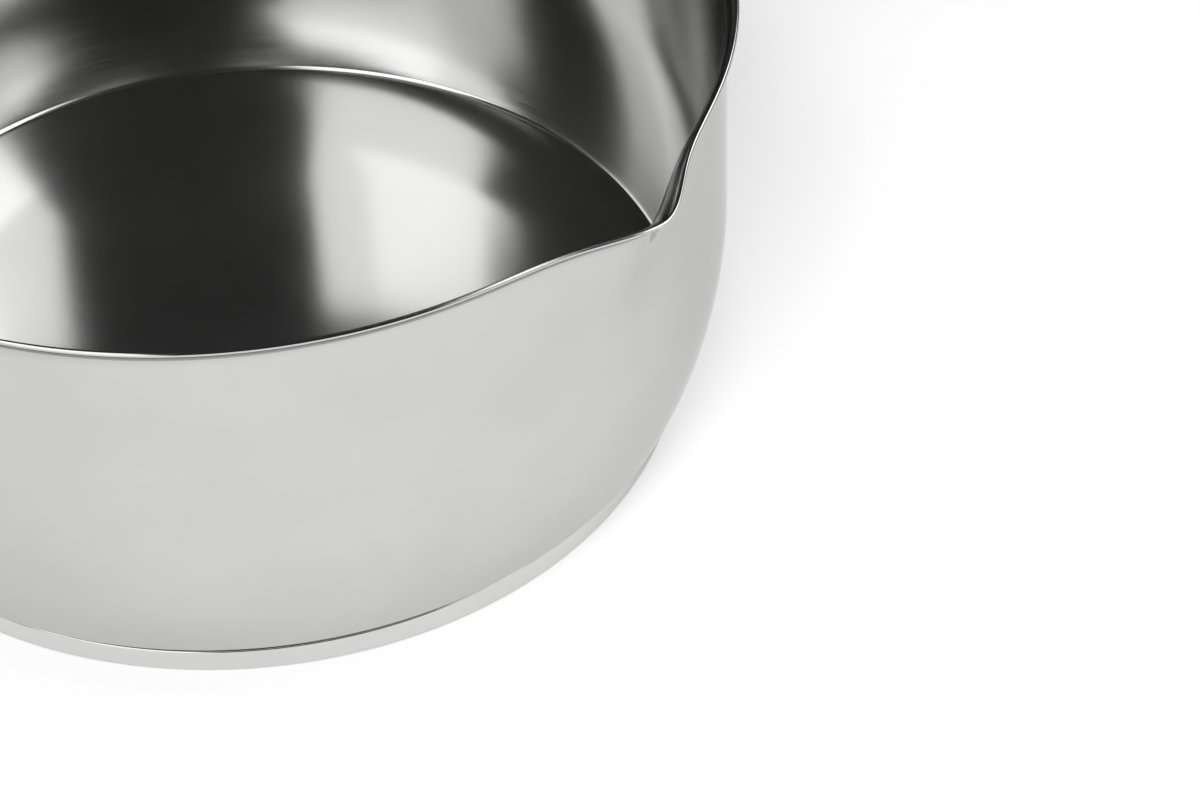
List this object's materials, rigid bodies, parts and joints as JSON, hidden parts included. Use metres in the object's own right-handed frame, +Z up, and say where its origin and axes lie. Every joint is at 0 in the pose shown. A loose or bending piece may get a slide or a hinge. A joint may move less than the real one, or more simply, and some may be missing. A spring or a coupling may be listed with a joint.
{
  "type": "saucepan",
  "caption": "Small stainless saucepan with an upright wall that curves in below, a rolled-out rim with a side pouring lip, a layered heat-spreading base and a moulded handle with a hanging slot.",
  "frame": {"origin": "centre of the base's underside, on the surface that the pan stands on", "axes": "+Z up along the bowl's axis, +X along the handle away from the bowl, -Y towards the pouring lip"},
  "size_m": [0.3316, 0.1727, 0.0942],
  "materials": {
    "polished_steel": "mirror polished outside, fine satin inside",
    "cap_steel": "polished edge, lathe-turned underside",
    "core_aluminium": "plain rolled",
    "bracket_steel": "satin",
    "fastener_steel": "zinc plated",
    "guard_steel": "polished",
    "black_phenolic": "moulded, half gloss"
  },
  "bodies": {
    "root": {"pan_body": "polished_steel", "base_cap": "cap_steel", "heat_spreader_disc": "core_aluminium", "handle_bracket": "bracket_steel", "bracket_nut": "fastener_steel", "flame_guard": "guard_steel", "handle_grip": "black_phenolic", "handle_screw": "fastener_steel", "screw_washer": "fastener_steel"}
  },
  "joints": []
}
